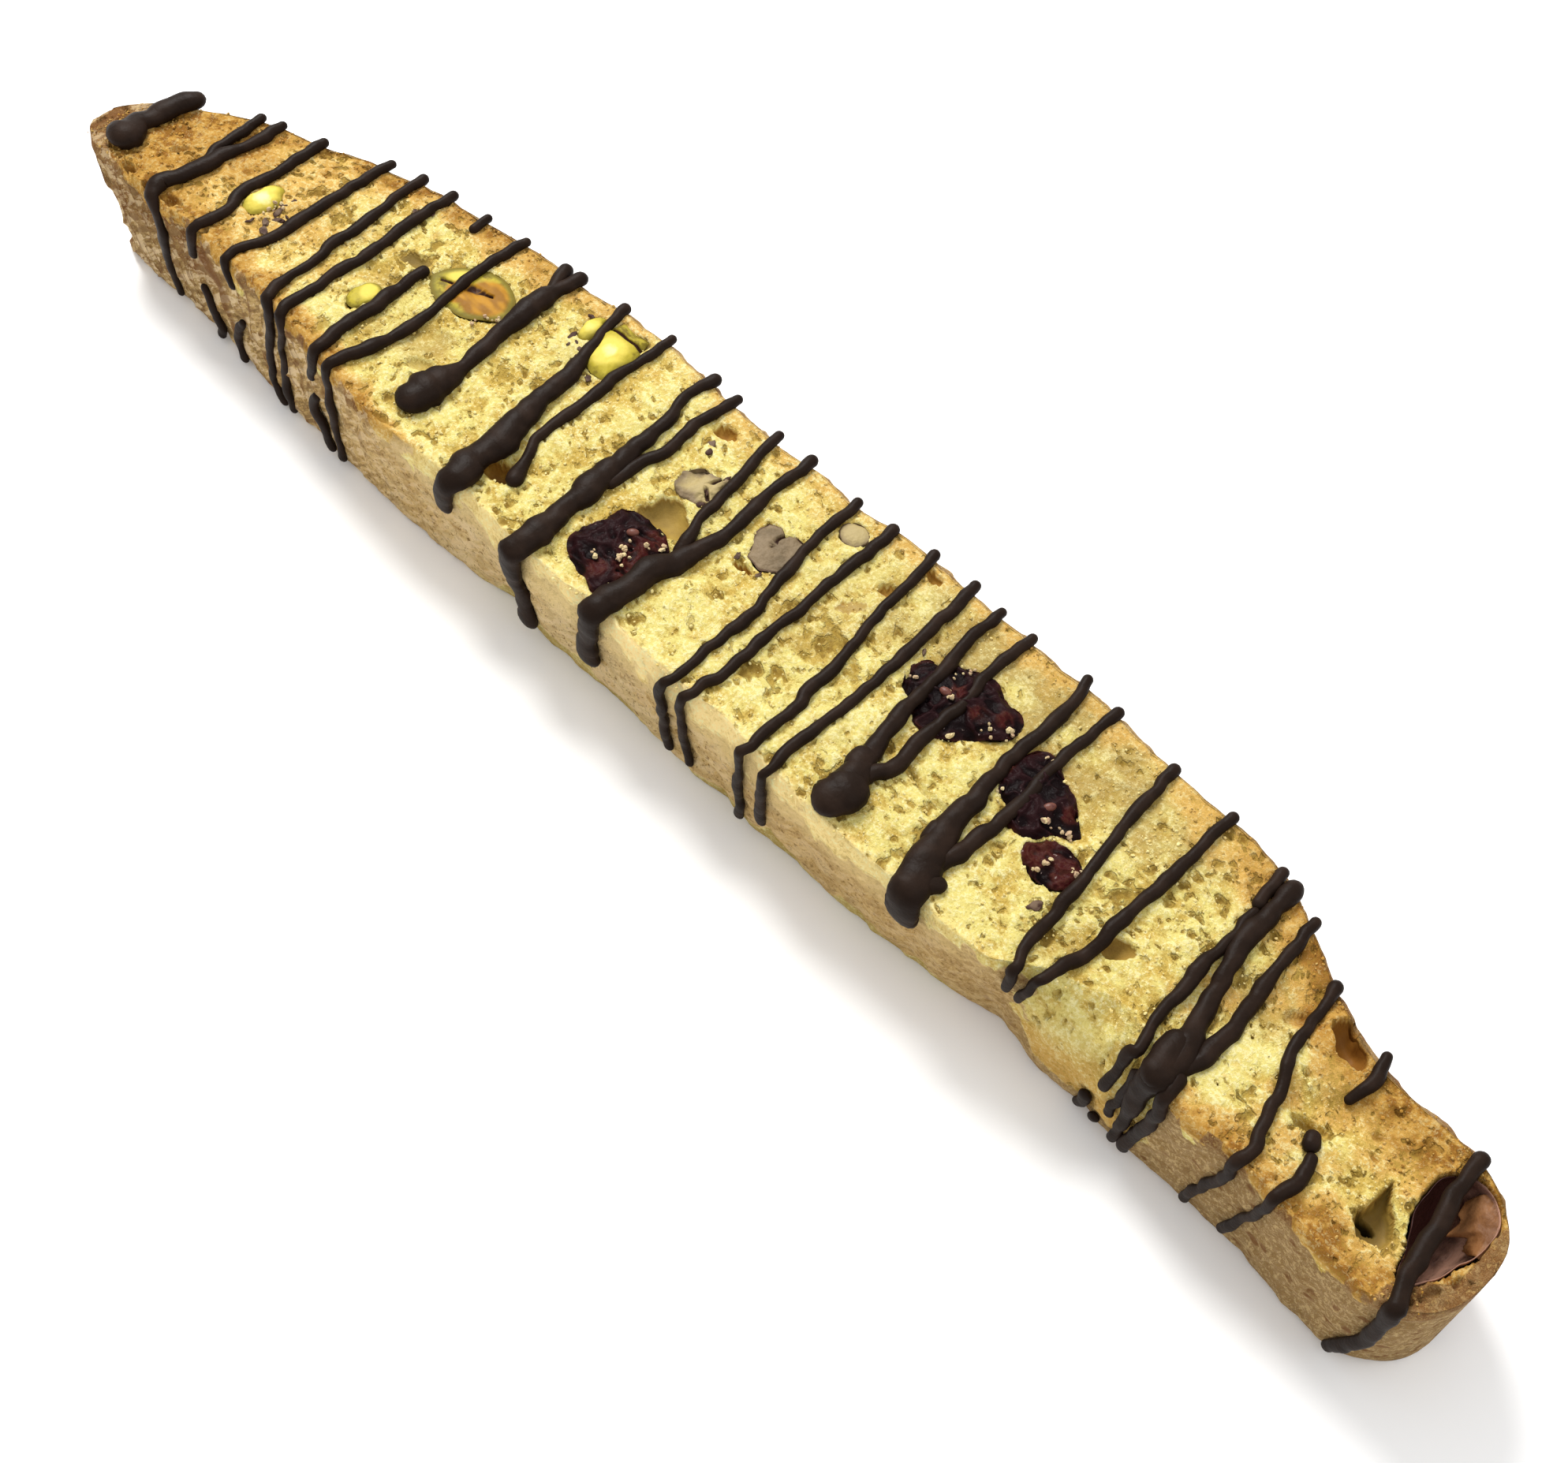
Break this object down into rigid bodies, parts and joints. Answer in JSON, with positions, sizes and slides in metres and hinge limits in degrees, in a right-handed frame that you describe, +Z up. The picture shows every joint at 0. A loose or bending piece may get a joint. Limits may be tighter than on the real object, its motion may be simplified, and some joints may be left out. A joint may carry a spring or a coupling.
{
  "type": "drizzled fruit and nut biscotti",
  "caption": "Long crisp biscotti slice lying on its cut face, with pistachios, nuts and dried cranberries at the cut and chocolate drizzle across it.",
  "frame": {"origin": "on the surface it rests on, under the middle of the bounding box", "axes": "+X along the length from the pointed end to the blunt end, +Y from the flat bottom crust of the log to its domed crust, +Z up from the lower cut face"},
  "size_m": [0.1828, 0.0296, 0.0166],
  "materials": {
    "baked_crumb": "matte, porous and dry, toasted at the edges",
    "chocolate": "satin, set chocolate",
    "pistachio": "smooth, slightly oily cut kernel",
    "dried_cranberry": "wrinkled, moist sheen",
    "nut": "smooth, matte cut kernel",
    "nut_skin": "thin papery skin with a soft sheen"
  },
  "bodies": {
    "root": {"biscuit": "baked_crumb", "pistachio_small": "pistachio", "pistachio_sliver": "pistachio", "pistachio_half": "pistachio", "pistachio_block": "pistachio", "cranberry_far": "dried_cranberry", "nut_upper": "nut", "nut_heart": "nut", "nut_edge": "nut", "cranberry_middle": "dried_cranberry", "cranberry_near": "dried_cranberry", "cranberry_bit": "dried_cranberry", "nut_skin": "nut_skin"}
  },
  "joints": []
}
